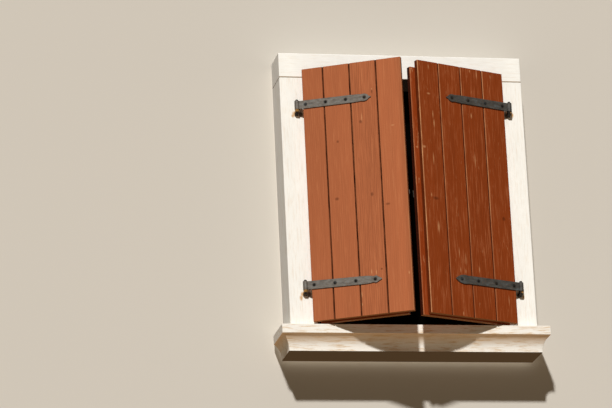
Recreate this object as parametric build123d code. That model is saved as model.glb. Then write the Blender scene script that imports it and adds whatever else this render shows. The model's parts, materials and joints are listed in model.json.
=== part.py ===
from build123d import *
from math import radians, tan
import os

# Pair of plank window shutters hung on pintles in their stone surround.
# Millimetres, +Z up. The viewer outside stands at -Y, X runs to the viewer's right.
# The origin is the middle of the sill's bed, in the plane of the jambs' outer face.
# Each leaf is drawn closed and on the left side, then mirrored if needed and swung open about its pins.

# Stone surround
OPENING_WIDTH = 860.0
JAMB_WIDTH = 120.0
OPENING_HEIGHT = 1141.0  # from the sill's front top edge to the underside of the lintel
LINTEL_HEIGHT = 111.0
STONE_DEPTH = 160.0
STONE_ARRIS = 2.0
MORTAR_THICKNESS = 3.0
MORTAR_RECESS = 2.5

# Sill and its moulding, which returns round both ends
SILL_HEIGHT = 112.0
SILL_HORN = 46.0  # past the jambs at both ends
SILL_PROJECTION = 46.0
SILL_FASCIA = 40.0
SILL_SOFFIT = 4.0
SILL_SETBACK = 33.0
SILL_FOOT = 6.0
WEATHERING_SLOPE = 0.05
WEATHERING_DEPTH = 60.0  # how far the slope runs in behind the jambs' outer face

# Leaves
FACE_GAP = 0.5  # between the closed front boards and the stone
JAMB_LAP = 24.25
LINTEL_LAP = 23.0
SILL_CLEARANCE = 14.5
MEETING_OFFSET = -4.75  # the leaves meet this far to the right of the middle
MEETING_GAP = 4.0
LEFT_OPEN_ANGLE = 26.2
RIGHT_OPEN_ANGLE = 21.2

# Front boards, widths counted from the hinge edge, the last takes what is left
FRONT_THICKNESS = 21.5
LEFT_BOARD_WIDTHS = (95.0, 119.5, 120.0)
RIGHT_BOARD_WIDTHS = (112.8, 117.4, 116.2)
FRONT_VEE = 4.2
OUTER_ARRIS = 2.4
BOARD_JOINT_GAP = 0.8
TONGUE_LENGTH = 5.0
TONGUE_THICKNESS = 7.0
TONGUE_CLEARANCE = 0.2

# Inner boards, laid across and standing inside the opening
INNER_THICKNESS = 25.0
INNER_BOARDS = 8
INNER_TOP_SHARE = 0.5167  # of the other boards' width, the topmost is ripped to fit
INNER_DROP = 7.0  # below the front boards' bottom edge
INNER_TOP_GAP = 6.0
INNER_SIDE_GAP = 3.0
INNER_VEE = 2.0
STILE_WIDTH = 80.0
STILE_LIP = 26.0
LIP_RELIEF = 1.0
LIP_ARRIS = 3.0
LIP_GAP = 6.5
STILE_JOINT = 0.4

# Strap hinges, each forged by hand to its own length and slope
STRAP_THICKNESS = 4.5
STRAP_WIDTH = 38.0
STRAP_EDGE = 0.8
# Height of the eye as a share of the front boards' height, length from the leaf's hinge edge, slope
# in degrees, shape of the end: lower strap, then upper strap
LEFT_STRAPS = ((0.1409, 314.0, -1.2, "barbed"), (0.8573, 307.0, -0.5, "eyed"))
RIGHT_STRAPS = ((0.1448, 319.0, 0.0, "leaf"), (0.8665, 314.0, 0.0, "eyed"))
# Half outline of each end as distances back from the point and heights: where the taper stops, then
# for every next stretch a place it passes through, or None for a straight one, and its end
STRAP_ENDS = {
    "eyed": (
        (82.0, 18.0),
        ((62.0, 17.2), (42.0, 15.2)),
        ((27.0, 16.4), (13.0, 9.6)),
        ((7.0, 3.8), (0.0, 1.2)),
    ),
    "barbed": (
        (82.0, 18.0),
        ((58.0, 16.8), (36.0, 13.4)),
        (None, (26.0, 16.0)),
        (None, (0.0, 1.2)),
    ),
    "leaf": ((60.0, 18.4), ((24.0, 16.2), (0.0, 1.2))),
}
EYE_SLIT = 0.9
EYE_SLIT_ANGLE = 42.0
NAIL_HOLE = 5.8

# Pintles
PIN_DIAMETER = 13.0
PIN_CLEARANCE = 0.05
PIN_OUTBOARD = 27.0  # from the leaf's hinge edge to the pin's axis
PIN_PROUD = 8.0
COLLAR_DIAMETER = 21.0
COLLAR_GAP = 0.3
SHANK_DROP = 12.0  # from the eye to the tang's axis
SHANK_WIDTH = 14.0
SHANK_DEPTH = 18.0  # at the stone, the underside rises from there to the pin
SHANK_HEEL = 6.0
SHANK_NOSE = 4.0
SHANK_REACH = 7.0  # past the pin's axis
TANG_WIDTH = 14.0
TANG_END_WIDTH = 8.0
TANG_LENGTH = 80.0
TANG_CLEARANCE = 0.3

# Forged nails
STRAP_NAIL_SHARES = (0.335, 0.63, 0.905)  # of the strap's length
EDGE_NAIL_PLACE = 12.0
EDGE_NAIL_DEPTH = 17.0
NAIL_HEAD_DIAMETER = 11.0
NAIL_HEAD_TOP = 5.5
NAIL_HEAD_HEIGHT = 3.0
NAIL_SHANK = 5.0
CLENCH_LENGTH = 10.0
CLENCH_THICKNESS = 2.2
BOARD_NAIL_HEAD = 8.0
BOARD_NAIL_HEAD_TOP = 4.5
BOARD_NAIL_HEAD_HEIGHT = 1.6
BOARD_NAIL_SHANK = 3.2
BOARD_NAIL_LENGTH = 39.0
HEAD_FACETS = 8

# Slide bolt on the inside of the left leaf
BOLT_HEIGHT_SHARE = 0.4741  # of the front boards' height
BOLT_BAR_WIDTH = 22.0
BOLT_BAR_THICKNESS = 6.0
BOLT_BAR_LENGTH = 130.0
BOLT_REACH = 26.5  # past the inner boards' edge when shot
BOLT_CLEARANCE = 0.3
BOLT_KNOB_DIAMETER = 12.0
BOLT_KNOB_HEIGHT = 14.0
BOLT_KNOB_NECK = 7.0
HEAD_STEPS = ((1.0, 3.5), (0.74, 1.2), (0.31, 0.0))  # shares of the radius, depths below the top
BOLT_KNOB_PLACE = 52.0  # from the bar's tip
GUIDE_WIDTH = 14.0
GUIDE_THICKNESS = 2.5
GUIDE_FOOT = 15.0
GUIDE_SETBACK = 11.0  # outer guide's middle behind the inner boards' edge
GUIDE_SPACING = 63.0
KEEPER_WIDTH = 12.0
KEEPER_SETBACK = 10.0  # keeper's middle behind the lip's edge
KEEPER_CLEARANCE = 1.0
GUIDE_NAIL_SHANK = 2.6
GUIDE_NAIL_HEAD = 6.0
GUIDE_NAIL_HEAD_TOP = 2.8
GUIDE_NAIL_LENGTH = 16.0

# Places that follow from the sizes
half_opening = OPENING_WIDTH / 2
half_surround = half_opening + JAMB_WIDTH
sill_end = half_surround + SILL_HORN
sill_seat = SILL_HEIGHT + SILL_PROJECTION * WEATHERING_SLOPE
lintel_underside = SILL_HEIGHT + OPENING_HEIGHT
hinge_edge = -(half_opening + JAMB_LAP)
pin_x = hinge_edge - PIN_OUTBOARD
front_face = -(FACE_GAP + FRONT_THICKNESS)
front_back = -FACE_GAP
inner_face = front_back + INNER_THICKNESS
eye_bore = PIN_DIAMETER / 2 + PIN_CLEARANCE
eye_outside = eye_bore + STRAP_THICKNESS
pin_y = front_face - STRAP_THICKNESS / 2
leaf_bottom = SILL_HEIGHT + SILL_CLEARANCE
leaf_top = lintel_underside + LINTEL_LAP
inner_bottom = leaf_bottom - INNER_DROP
inner_top = lintel_underside - INNER_TOP_GAP
left_width = -hinge_edge + MEETING_OFFSET - MEETING_GAP / 2
right_width = -hinge_edge - MEETING_OFFSET - MEETING_GAP / 2
inner_start = JAMB_LAP + INNER_SIDE_GAP
lip_edge = right_width + STILE_LIP
stile_start = lip_edge - STILE_WIDTH
left_inner_end = -2 * hinge_edge - lip_edge - LIP_GAP
right_inner_end = stile_start - STILE_JOINT
leaf_height = leaf_top - leaf_bottom
bolt_z = leaf_bottom + BOLT_HEIGHT_SHARE * leaf_height
inner_row = (inner_top - inner_bottom) / (INNER_BOARDS - 1 + INNER_TOP_SHARE)


def block(x0, x1, y0, y1, z0, z1):
    """A box between two corners."""
    return Pos((x0 + x1) / 2, (y0 + y1) / 2, (z0 + z1) / 2) * Box(x1 - x0, y1 - y0, z1 - z0)


def mirrored(shape):
    """The same piece on the other side of the window."""
    return mirror(shape, about=Plane.YZ)


# Stone


def sill_edge(outer):
    """The moulded edge as points and a cove, from its top arris to the bed, going inwards from `outer`."""
    nose = outer + SILL_SOFFIT
    foot = outer + SILL_SETBACK
    fascia_bottom = SILL_HEIGHT - SILL_FASCIA
    cove = TangentArc((foot, SILL_FOOT), (nose, fascia_bottom), tangent=(0, 1))
    return nose, foot, fascia_bottom, cove


def sill():
    """Sill block: its front moulding and its end mouldings cut each other in mitres."""
    front = -SILL_PROJECTION
    nose, foot, fascia_bottom, cove = sill_edge(front)
    slope_end = SILL_HEIGHT + (SILL_PROJECTION + WEATHERING_DEPTH) * WEATHERING_SLOPE
    outline = Polyline(
        (nose, fascia_bottom),
        (front, fascia_bottom),
        (front, SILL_HEIGHT),
        (WEATHERING_DEPTH, slope_end),
        (STONE_DEPTH, slope_end),
        (STONE_DEPTH, 0),
        (foot, 0),
        (foot, SILL_FOOT),
    )
    along_x = extrude(Plane.YZ * make_face([outline, cove]), sill_end, both=True)

    end = -sill_end
    nose, foot, fascia_bottom, cove = sill_edge(end)
    outline = Polyline(
        (nose, fascia_bottom),
        (end, fascia_bottom),
        (end, slope_end),
        (0, slope_end),
        (0, 0),
        (foot, 0),
        (foot, SILL_FOOT),
    )
    half = extrude(Plane.XZ * make_face([outline, cove]), SILL_PROJECTION)
    half += extrude(Plane.XZ * make_face([outline, cove]), -STONE_DEPTH)
    body = along_x & (half + mirrored(half))
    for side in (-1, 1):
        near, far = sorted((side * half_opening, side * 2 * sill_end))
        body -= block(near, far, 0, STONE_DEPTH, sill_seat, slope_end + SILL_HEIGHT)
    return body


def jamb():
    """Left jamb standing on its level seat, with pockets for the pintles' tangs."""
    top = lintel_underside - MORTAR_THICKNESS
    body = block(-half_surround, -half_opening, 0, STONE_DEPTH, sill_seat, top)
    upright = body.edges().filter_by(Axis.Z).group_by(Axis.Y)[0]
    return chamfer(upright, STONE_ARRIS)


def lintel():
    """Straight lintel, its front arrises dulled."""
    top = lintel_underside + LINTEL_HEIGHT
    body = block(-half_surround, half_surround, 0, STONE_DEPTH, lintel_underside, top)
    front = body.edges().group_by(Axis.Y)[0]
    return chamfer(front, STONE_ARRIS)


def lintel_mortar():
    """The thin beds of mortar under both ends of the lintel, raked back from the face."""
    bed = block(
        -half_surround + MORTAR_RECESS,
        -half_opening - MORTAR_RECESS,
        MORTAR_RECESS,
        STONE_DEPTH - MORTAR_RECESS,
        lintel_underside - MORTAR_THICKNESS,
        lintel_underside,
    )
    return bed + mirrored(bed)


# Pintles


def tang(extra=0.0):
    """Square tapering tang that runs into the jamb from its face, at height 0."""
    start = Plane((pin_x, 0, 0), x_dir=(1, 0, 0), z_dir=(0, 1, 0))
    end = start.offset(TANG_LENGTH + extra)
    wide = TANG_WIDTH + 2 * extra
    narrow = TANG_END_WIDTH + 2 * extra
    return loft([start * Rectangle(wide, wide), end * Rectangle(narrow, narrow)], ruled=True)


def headed(profile, radius, top):
    """Half section of a turned piece, from its points up to a hammered head of this radius and height."""
    head = [(share * radius, top - depth) for share, depth in HEAD_STEPS]
    return Plane.XZ * make_face(Polyline(*profile, *head, (0, top), close=True))


def pintle():
    """Left pintle with height 0 at its tang's axis: pin, collar, stayed shank and tang in one forging."""
    half_depth = SHANK_DEPTH / 2
    nose = pin_y - SHANK_REACH
    points = [
        (0, -half_depth),
        (-SHANK_HEEL, -half_depth),
        (nose, half_depth - SHANK_NOSE),
        (nose, half_depth),
        (0, half_depth),
    ]
    side = Plane((pin_x, 0, 0), x_dir=(0, 1, 0), z_dir=(1, 0, 0))
    body = extrude(side * make_face(Polyline(*points, close=True)), SHANK_WIDTH / 2, both=True)
    seat = SHANK_DROP - COLLAR_GAP
    collar_radius, pin_radius = COLLAR_DIAMETER / 2, PIN_DIAMETER / 2
    turned = [(0, half_depth), (collar_radius, half_depth), (collar_radius, seat), (pin_radius, seat)]
    pin = headed(turned, pin_radius, SHANK_DROP + STRAP_WIDTH + PIN_PROUD)
    return body + Pos(pin_x, pin_y, 0) * revolve(pin, Axis.Z) + tang()


# Boards


def board_section(start, end, thickness, vee, tongued, grooved):
    """Cross-section of a tongued and grooved board, width along X and the shown face at Y 0.

    The chamfers of a jointed edge are `vee` wide, those of a bare edge are dulled arrises."""
    middle = thickness / 2
    half_tongue = TONGUE_THICKNESS / 2
    half_groove = half_tongue + TONGUE_CLEARANCE
    start_cut = vee if grooved else OUTER_ARRIS
    end_cut = vee if tongued else OUTER_ARRIS
    points = [(start + start_cut, 0), (end - end_cut, 0), (end, end_cut)]
    if tongued:
        tip = end + BOARD_JOINT_GAP + TONGUE_LENGTH
        points += [
            (end, middle - half_tongue),
            (tip, middle - half_tongue),
            (tip, middle + half_tongue),
            (end, middle + half_tongue),
        ]
    points += [(end, thickness), (start, thickness)]
    if grooved:
        root = start + TONGUE_LENGTH + TONGUE_CLEARANCE
        points += [
            (start, middle + half_groove),
            (root, middle + half_groove),
            (root, middle - half_groove),
            (start, middle - half_groove),
        ]
    points.append((start, start_cut))
    return make_face(Polyline(*points, close=True))


def board_spans(widths, total):
    """Start and end of each front board, the joint gaps taken out."""
    joints = [0.0]
    for width in widths:
        joints.append(joints[-1] + width)
    joints.append(total)
    half_gap = BOARD_JOINT_GAP / 2
    spans = []
    for index in range(len(joints) - 1):
        first, last = index == 0, index == len(joints) - 2
        start = joints[index] + (0 if first else half_gap)
        end = joints[index + 1] - (0 if last else half_gap)
        spans.append((start, end))
    return spans


def front_boards(spans):
    """The vertical boards of one leaf, from the hinge edge to the free edge."""
    plane = Plane((hinge_edge, front_face, leaf_bottom), x_dir=(1, 0, 0), z_dir=(0, 0, 1))
    boards = []
    for index, (start, end) in enumerate(spans):
        last = index == len(spans) - 1
        section = board_section(start, end, FRONT_THICKNESS, FRONT_VEE, not last, index > 0)
        boards.append(extrude(plane * section, leaf_height))
    return boards


def inner_spans():
    """Bottom and top of each inner board, the topmost ripped to what is left."""
    half_gap = BOARD_JOINT_GAP / 2
    spans = []
    for row in range(INNER_BOARDS):
        first, last = row == 0, row == INNER_BOARDS - 1
        start = inner_bottom + row * inner_row + (0 if first else half_gap)
        end = inner_top if last else inner_bottom + (row + 1) * inner_row - half_gap
        spans.append((start, end))
    return spans


def inner_boards(end):
    """The boards laid across the back of one leaf, their jointed face towards the room."""
    plane = Plane((hinge_edge + inner_start, inner_face, 0), x_dir=(0, 0, 1), z_dir=(1, 0, 0))
    spans = inner_spans()
    boards = []
    for index, (low, high) in enumerate(spans):
        last = index == len(spans) - 1
        section = board_section(low, high, INNER_THICKNESS, INNER_VEE, not last, index > 0)
        boards.append(extrude(plane * section, end - inner_start))
    return boards


def meeting_stile():
    """Upright stile of the right leaf whose lip stands out past the front boards."""
    points = [
        (stile_start, 0),
        (right_width, 0),
        (right_width, LIP_RELIEF),
        (lip_edge - LIP_ARRIS, LIP_RELIEF),
        (lip_edge, LIP_RELIEF + LIP_ARRIS),
        (lip_edge, INNER_THICKNESS - OUTER_ARRIS),
        (lip_edge - OUTER_ARRIS, INNER_THICKNESS),
        (stile_start + OUTER_ARRIS, INNER_THICKNESS),
        (stile_start, INNER_THICKNESS - OUTER_ARRIS),
    ]
    plane = Plane((hinge_edge, front_back, inner_bottom), x_dir=(1, 0, 0), z_dir=(0, 0, 1))
    return extrude(plane * make_face(Polyline(*points, close=True)), inner_top - inner_bottom)


# Ironwork


def eye_level(share):
    """Height of a strap's eye, whose middle stands at this share of the front boards' height."""
    return leaf_bottom + share * leaf_height


def along_strap(place, slope):
    """Height of a strap's middle line above its eye, at a place counted from the leaf's hinge edge."""
    return (place + PIN_OUTBOARD) * tan(radians(slope))


def nail_places(length):
    """Places of a strap's nails, the one over the jamb first."""
    return [EDGE_NAIL_PLACE, *[share * length for share in STRAP_NAIL_SHARES]]


def strap(length, slope, shape):
    """Strap hinge with height 0 at its eye: sloping flat bar, shaped end, rolled eye, punched holes."""
    half_eye = STRAP_WIDTH / 2
    (shoulder, half_shoulder), *stretches = STRAP_ENDS[shape]
    start = (length - shoulder, half_shoulder)
    upper = [Line((-PIN_OUTBOARD, half_eye), start)]
    for via, (back, height) in stretches:
        stop = (length - back, height)
        upper.append(ThreePointArc(start, (length - via[0], via[1]), stop) if via else Line(start, stop))
        start = stop
    lower = [mirror(edge, about=Plane.XZ) for edge in upper]
    point = Line(start, (start[0], -start[1]))
    root = Line((-PIN_OUTBOARD, -half_eye), (-PIN_OUTBOARD, half_eye))
    outline = make_face(upper + lower + [point, root])
    outline = Pos(-PIN_OUTBOARD, 0, 0) * Rot(0, 0, slope) * Pos(PIN_OUTBOARD, 0, 0) * outline
    face_plane = Plane((hinge_edge, front_face, 0), x_dir=(1, 0, 0), z_dir=(0, -1, 0))
    blade = extrude(face_plane * outline, STRAP_THICKNESS)
    rim = blade.edges().group_by(Axis.Y)[0]
    blade = chamfer(rim.filter_by(lambda edge: edge.length > length / 2), STRAP_EDGE)

    eye_base = Plane((pin_x, pin_y, -half_eye))
    blade -= extrude(Plane((pin_x, pin_y, 0)) * Circle(eye_bore), STRAP_WIDTH, both=True)
    ring = extrude(eye_base * (Circle(eye_outside) - Circle(eye_bore)), STRAP_WIDTH)
    slit = Pos((eye_bore + eye_outside) / 2, 0, 0) * Box(eye_outside, EYE_SLIT, 2 * STRAP_WIDTH)
    ring -= Pos(pin_x, pin_y, 0) * Rot(0, 0, EYE_SLIT_ANGLE) * slit
    body = blade + ring
    for place in nail_places(length):
        hole = Box(NAIL_HOLE, 4 * STRAP_THICKNESS, NAIL_HOLE)
        body -= Pos(hinge_edge + place, front_face, along_strap(place, slope)) * hole
    return body


def nail(head, head_top, head_height, shank, length):
    """Forged nail driven along +Y, its faceted head standing out from Y 0 towards -Y."""
    outwards = Plane((0, 0, 0), x_dir=(1, 0, 0), z_dir=(0, -1, 0))
    facets = [
        outwards * RegularPolygon(head / 2, HEAD_FACETS),
        outwards.offset(head_height) * RegularPolygon(head_top / 2, HEAD_FACETS),
    ]
    return loft(facets, ruled=True) + block(-shank / 2, shank / 2, 0, length, -shank / 2, shank / 2)


def strap_nails(straps):
    """Nails of one leaf's straps: short ones over the jamb, clenched ones through both layers."""
    seat = front_face - STRAP_THICKNESS
    sizes = (NAIL_HEAD_DIAMETER, NAIL_HEAD_TOP, NAIL_HEAD_HEIGHT, NAIL_SHANK)
    short = nail(*sizes, STRAP_THICKNESS + EDGE_NAIL_DEPTH)
    through = inner_face - seat + CLENCH_THICKNESS
    half = NAIL_SHANK / 2
    clench = block(-half, half, through - CLENCH_THICKNESS, through, -CLENCH_LENGTH, half)
    clenched = nail(*sizes, through) + clench
    nails = []
    for share, length, slope, _ in straps:
        for place in nail_places(length):
            level = eye_level(share) + along_strap(place, slope)
            made = short if place == EDGE_NAIL_PLACE else clenched
            nails.append(Pos(hinge_edge + place, seat, level) * made)
    return Compound(nails)


def board_nail():
    """Nail driven from the inside, its head on the inner boards' face."""
    made = nail(
        BOARD_NAIL_HEAD, BOARD_NAIL_HEAD_TOP, BOARD_NAIL_HEAD_HEIGHT, BOARD_NAIL_SHANK, BOARD_NAIL_LENGTH
    )
    return Pos(0, inner_face, 0) * Rot(0, 0, 180) * made


def board_nails(spans, inner_end):
    """Two nails through each inner board, in turns through every other front board."""
    columns = []
    for start, end in spans:
        columns.append((max(start, inner_start) + min(end, inner_end)) / 2)
    places = []
    for row, (low, high) in enumerate(inner_spans()):
        level = (low + high) / 2
        places += [(columns[column], level) for column in range(row % 2, len(columns), 2)]
    return places


def nails_at(places):
    """A group of board nails at places counted from the hinge edge and the bed."""
    return Compound([Pos(hinge_edge + along, 0, level) * board_nail() for along, level in places])


# Slide bolt


def guide(width, clearance):
    """Bent strip over the bar, middle at X 0 and Z 0, its feet on the inner face."""
    inside = BOLT_BAR_WIDTH / 2 + clearance
    outside = inside + GUIDE_THICKNESS
    roof = BOLT_BAR_THICKNESS + 2 * clearance
    foot = outside + GUIDE_FOOT
    points = [
        (-foot, 0),
        (-inside, 0),
        (-inside, roof),
        (inside, roof),
        (inside, 0),
        (foot, 0),
        (foot, GUIDE_THICKNESS),
        (outside, GUIDE_THICKNESS),
        (outside, roof + GUIDE_THICKNESS),
        (-outside, roof + GUIDE_THICKNESS),
        (-outside, GUIDE_THICKNESS),
        (-foot, GUIDE_THICKNESS),
    ]
    plane = Plane((-width / 2, inner_face, 0), x_dir=(0, 0, 1), z_dir=(1, 0, 0))
    section = mirror(make_face(Polyline(*points, close=True)), about=Plane.XZ)
    return extrude(plane * section, width)


def guide_nails(clearance):
    """One nail in each foot of a guide or keeper."""
    made = nail(
        GUIDE_NAIL_HEAD, GUIDE_NAIL_HEAD_TOP, BOARD_NAIL_HEAD_HEIGHT, GUIDE_NAIL_SHANK, GUIDE_NAIL_LENGTH
    )
    made = Pos(0, inner_face + GUIDE_THICKNESS, 0) * Rot(0, 0, 180) * made
    level = BOLT_BAR_WIDTH / 2 + clearance + GUIDE_THICKNESS + GUIDE_FOOT / 2
    return [Pos(0, 0, level) * made, Pos(0, 0, -level) * made]


def with_nail_holes(piece, clearance):
    """The guide with its two punched holes."""
    level = BOLT_BAR_WIDTH / 2 + clearance + GUIDE_THICKNESS + GUIDE_FOOT / 2
    size = GUIDE_NAIL_SHANK + TONGUE_CLEARANCE
    for height in (-level, level):
        piece -= Pos(0, inner_face, height) * Box(size, 4 * GUIDE_THICKNESS, size)
    return piece


def slide_bolt():
    """Flat bar with a turned knob, shot towards the right leaf."""
    tip = hinge_edge + left_inner_end + BOLT_REACH
    back = inner_face + BOLT_CLEARANCE
    half = BOLT_BAR_WIDTH / 2
    bar = block(tip - BOLT_BAR_LENGTH, tip, back, back + BOLT_BAR_THICKNESS, bolt_z - half, bolt_z + half)
    nose = bar.edges().filter_by(Axis.Y).group_by(Axis.X)[-1]
    bar = chamfer(nose, BOLT_BAR_THICKNESS / 2)
    radius, neck = BOLT_KNOB_DIAMETER / 2, BOLT_KNOB_NECK / 2
    turned = [(0, 0), (neck, 0), (neck, BOLT_KNOB_HEIGHT - radius), (radius, BOLT_KNOB_HEIGHT - radius)]
    knob = Rot(-90, 0, 0) * revolve(headed(turned, radius, BOLT_KNOB_HEIGHT), Axis.Z)
    return bar + Pos(tip - BOLT_KNOB_PLACE, back + BOLT_BAR_THICKNESS, bolt_z) * knob


# Placing


def swing(shape, side):
    """A piece of the closed left-hand leaf, put on its side of the window and swung open."""
    if side == "left":
        return shape.rotate(Axis((pin_x, pin_y, 0), (0, 0, -1)), LEFT_OPEN_ANGLE)
    return mirrored(shape).rotate(Axis((-pin_x, pin_y, 0), (0, 0, 1)), RIGHT_OPEN_ANGLE)


pieces = {"sill": sill(), "lintel": lintel(), "lintel_mortar": lintel_mortar()}

shank_below = STRAP_WIDTH / 2 + SHANK_DROP

# Jambs and their pintles
jambs = {"left": jamb(), "right": jamb()}
for side, straps in (("left", LEFT_STRAPS), ("right", RIGHT_STRAPS)):
    for position, (share, *_) in zip(("lower", "upper"), straps):
        place = Pos(0, 0, eye_level(share) - shank_below)
        jambs[side] -= place * tang(TANG_CLEARANCE)
        forged = place * pintle()
        pieces[f"{side}_{position}_pintle"] = forged if side == "left" else mirrored(forged)
pieces["left_jamb"] = jambs["left"]
pieces["right_jamb"] = mirrored(jambs["right"])

# Both leaves, closed and drawn on the left
leaves = {"left": {}, "right": {}}
for side, widths, total, inner_end, straps in (
    ("left", LEFT_BOARD_WIDTHS, left_width, left_inner_end, LEFT_STRAPS),
    ("right", RIGHT_BOARD_WIDTHS, right_width, right_inner_end, RIGHT_STRAPS),
):
    leaf = leaves[side]
    spans = board_spans(widths, total)
    for number, board in enumerate(front_boards(spans), 1):
        leaf[f"{side}_front_board_{number}"] = board
    for number, board in enumerate(inner_boards(inner_end), 1):
        leaf[f"{side}_inner_board_{number}"] = board
    for position, (share, *forging) in zip(("lower", "upper"), straps):
        leaf[f"{side}_{position}_strap"] = Pos(0, 0, eye_level(share)) * strap(*forging)
    leaf[f"{side}_strap_nails"] = strap_nails(straps)
    places = board_nails(spans, inner_end)
    if side == "right":
        stile_nail = (stile_start + right_width) / 2
        places += [(stile_nail, (low + high) / 2) for low, high in inner_spans()]
    leaf[f"{side}_board_nails"] = nails_at(places)

leaves["right"]["right_meeting_stile"] = meeting_stile()

# Slide bolt, guides and keeper
outer_guide = hinge_edge + left_inner_end - GUIDE_SETBACK
inner_guide = outer_guide - GUIDE_SPACING
left_guide = with_nail_holes(guide(GUIDE_WIDTH, BOLT_CLEARANCE), BOLT_CLEARANCE)
bolt_keeper = with_nail_holes(guide(KEEPER_WIDTH, KEEPER_CLEARANCE), KEEPER_CLEARANCE)
keeper_place = Pos(hinge_edge + lip_edge - KEEPER_SETBACK, 0, bolt_z)
leaves["left"]["slide_bolt"] = slide_bolt()
leaves["left"]["bolt_guide_outer"] = Pos(outer_guide, 0, bolt_z) * left_guide
leaves["left"]["bolt_guide_inner"] = Pos(inner_guide, 0, bolt_z) * left_guide
leaves["left"]["bolt_guide_nails"] = Compound(
    [Pos(x, 0, bolt_z) * made for x in (outer_guide, inner_guide) for made in guide_nails(BOLT_CLEARANCE)]
)
leaves["right"]["bolt_keeper"] = keeper_place * bolt_keeper
leaves["right"]["bolt_keeper_nails"] = Compound(
    [keeper_place * made for made in guide_nails(KEEPER_CLEARANCE)]
)

for side, leaf in leaves.items():
    for name, piece in leaf.items():
        pieces[name] = swing(piece, side)

os.makedirs("parts", exist_ok=True)
for name, piece in pieces.items():
    export_step(piece, f"parts/{name}.step")
print(len(pieces), "pieces written")
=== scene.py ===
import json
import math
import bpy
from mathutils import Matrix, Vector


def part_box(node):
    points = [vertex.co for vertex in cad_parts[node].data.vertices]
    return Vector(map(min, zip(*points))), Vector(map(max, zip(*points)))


bl_info = {
    "name": "Plank Window Shutters",
    "version": (1, 0, 0),
    "blender": (4, 5, 0),
    "location": "View3D > Sidebar > Shutters",
    "description": "Finishes a pair of weathered plank shutters hung in a limestone window surround",
    "category": "Object",
}

import bpy
from mathutils import Matrix, Vector

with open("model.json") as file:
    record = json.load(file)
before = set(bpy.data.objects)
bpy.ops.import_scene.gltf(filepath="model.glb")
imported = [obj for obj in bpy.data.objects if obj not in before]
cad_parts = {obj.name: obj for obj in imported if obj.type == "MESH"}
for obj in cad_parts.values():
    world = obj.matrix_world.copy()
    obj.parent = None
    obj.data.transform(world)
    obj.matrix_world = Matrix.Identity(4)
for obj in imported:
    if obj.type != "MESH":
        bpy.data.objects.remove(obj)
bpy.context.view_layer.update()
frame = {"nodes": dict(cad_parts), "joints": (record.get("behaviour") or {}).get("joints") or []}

MM = 0.001
SIDES = ("left", "right")
LEVELS = ("lower", "upper")

# A Mix node's colour sockets share their names with its other sockets, so they are given by number
MIX_FACTOR, MIX_A, MIX_B, MIX_RESULT = 0, 6, 7, 2

joints = {joint["name"]: joint for joint in frame["joints"]}

# Places on a leaf are counted from its pins along the boards, and up from the boards' bottom, in mm
FRONT_JOINTS = {"left": (122.0, 241.5, 361.5), "right": (139.8, 257.2, 373.4)}
INNER_JOINTS = (143.0, 293.0, 443.0, 593.0, 743.0, 893.0, 1043.0)
FREE_EDGE = {"left": 474.5, "right": 484.0}
LIP_JOINT = (512.0,)

# How much of the arris beside each joint is pale, partly worn and partly a painted highlight, the free edge's
# last
ARRIS_WEAR_AND_HIGHLIGHT = {"left": (0.08, 0.2, 0.1, 0.22), "right": (0.46, 0.34, 0.34, 0.6)}
HIDDEN_WEAR = 0.2  # the same, for the inner boards and the stile
ARRIS_SHIFT = 4 * MM  # from the middle of a joint to its arris
FREE_ARRIS_SHIFT = -1.8 * MM  # from a leaf's free edge to the middle of its worn line
FREE_ARRIS_HALF_WIDTH = 1.7 * MM  # half width of that line
# Brightness of each board's paint, and how deeply its grain shows
BOARD_TONES = {"left": (0.985, 1.05, 1.015, 1.1), "right": (1.0, 1.0, 1.0, 1.0)}
GRAIN_DEPTHS = {"left": (0.7, 0.8, 1.9, 0.8), "right": (1.3, 1.7, 1.4, 1.4)}

# Strap nails, lower strap's first: place, height
STRAP_NAILS = {
    "left": (
        (39.0, 161.1),
        (132.2, 159.2),
        (224.8, 157.3),
        (311.2, 155.4),
        (39.0, 985.1),
        (129.8, 984.3),
        (220.4, 983.5),
        (304.8, 982.8),
    ),
    "right": (
        (39.0, 166.4),
        (133.9, 166.4),
        (228.0, 166.4),
        (315.7, 166.4),
        (39.0, 996.0),
        (132.2, 996.0),
        (224.8, 996.0),
        (311.2, 996.0),
    ),
}

# Rust on the stone by each pintle: place outwards from the pin, height above the pintle's foot, half
# width, half height
RUST_PLACES = {
    "left_upper": ((8.0, 8.0, 13.0, 16.0), (16.0, 0.0, 8.0, 11.0)),
    "left_lower": ((16.0, -8.0, 9.0, 17.0), (9.0, 8.0, 12.0, 14.0)),
    "right_upper": ((19.0, 12.0, 7.0, 15.0),),
    "right_lower": ((15.0, 0.0, 6.0, 12.0),),
}
# Painted shade in the corner between each pintle and its leaf
CORNER_SHADE_PLACES = {
    "left_upper": ((-19.0, 8.0, 14.0, 17.0),),
    "left_lower": ((-19.0, 8.0, 14.0, 17.0),),
    "right_upper": ((-9.0, 8.0, 14.0, 18.0),),
    "right_lower": ((-9.0, 8.0, 13.0, 16.0),),
}
# Rust on each pintle's collar just below the strap's eye, partly rust and partly a painted highlight on its top
COLLAR_RUST_AND_HIGHLIGHT = {
    "left_upper": ((2.0, 15.5, 14.0, 6.5),),
    "left_lower": ((2.0, 15.5, 14.0, 6.0),),
    "right_upper": ((6.0, 14.0, 6.0, 3.0),),
    "right_lower": ((4.0, 15.0, 9.0, 4.0),),
}

# Knots and sound dark spots: place, height, half width, half height
KNOTS = {
    "left": (
        (282.0, 874.0, 9.0, 10.0),
        (175.0, 796.0, 7.0, 8.0),
        (159.0, 536.0, 12.0, 9.0),
        (384.0, 486.0, 13.0, 7.0),
        (316.0, 538.0, 8.0, 12.0),
        (341.0, 198.0, 7.0, 6.0),
        (339.0, 1006.0, 4.5, 11.0),
    ),
    "right": (
        (68.0, 470.0, 11.0, 12.0),
        (426.0, 520.0, 20.0, 10.0),
        (201.0, 980.0, 14.0, 10.0),
    ),
}

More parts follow.
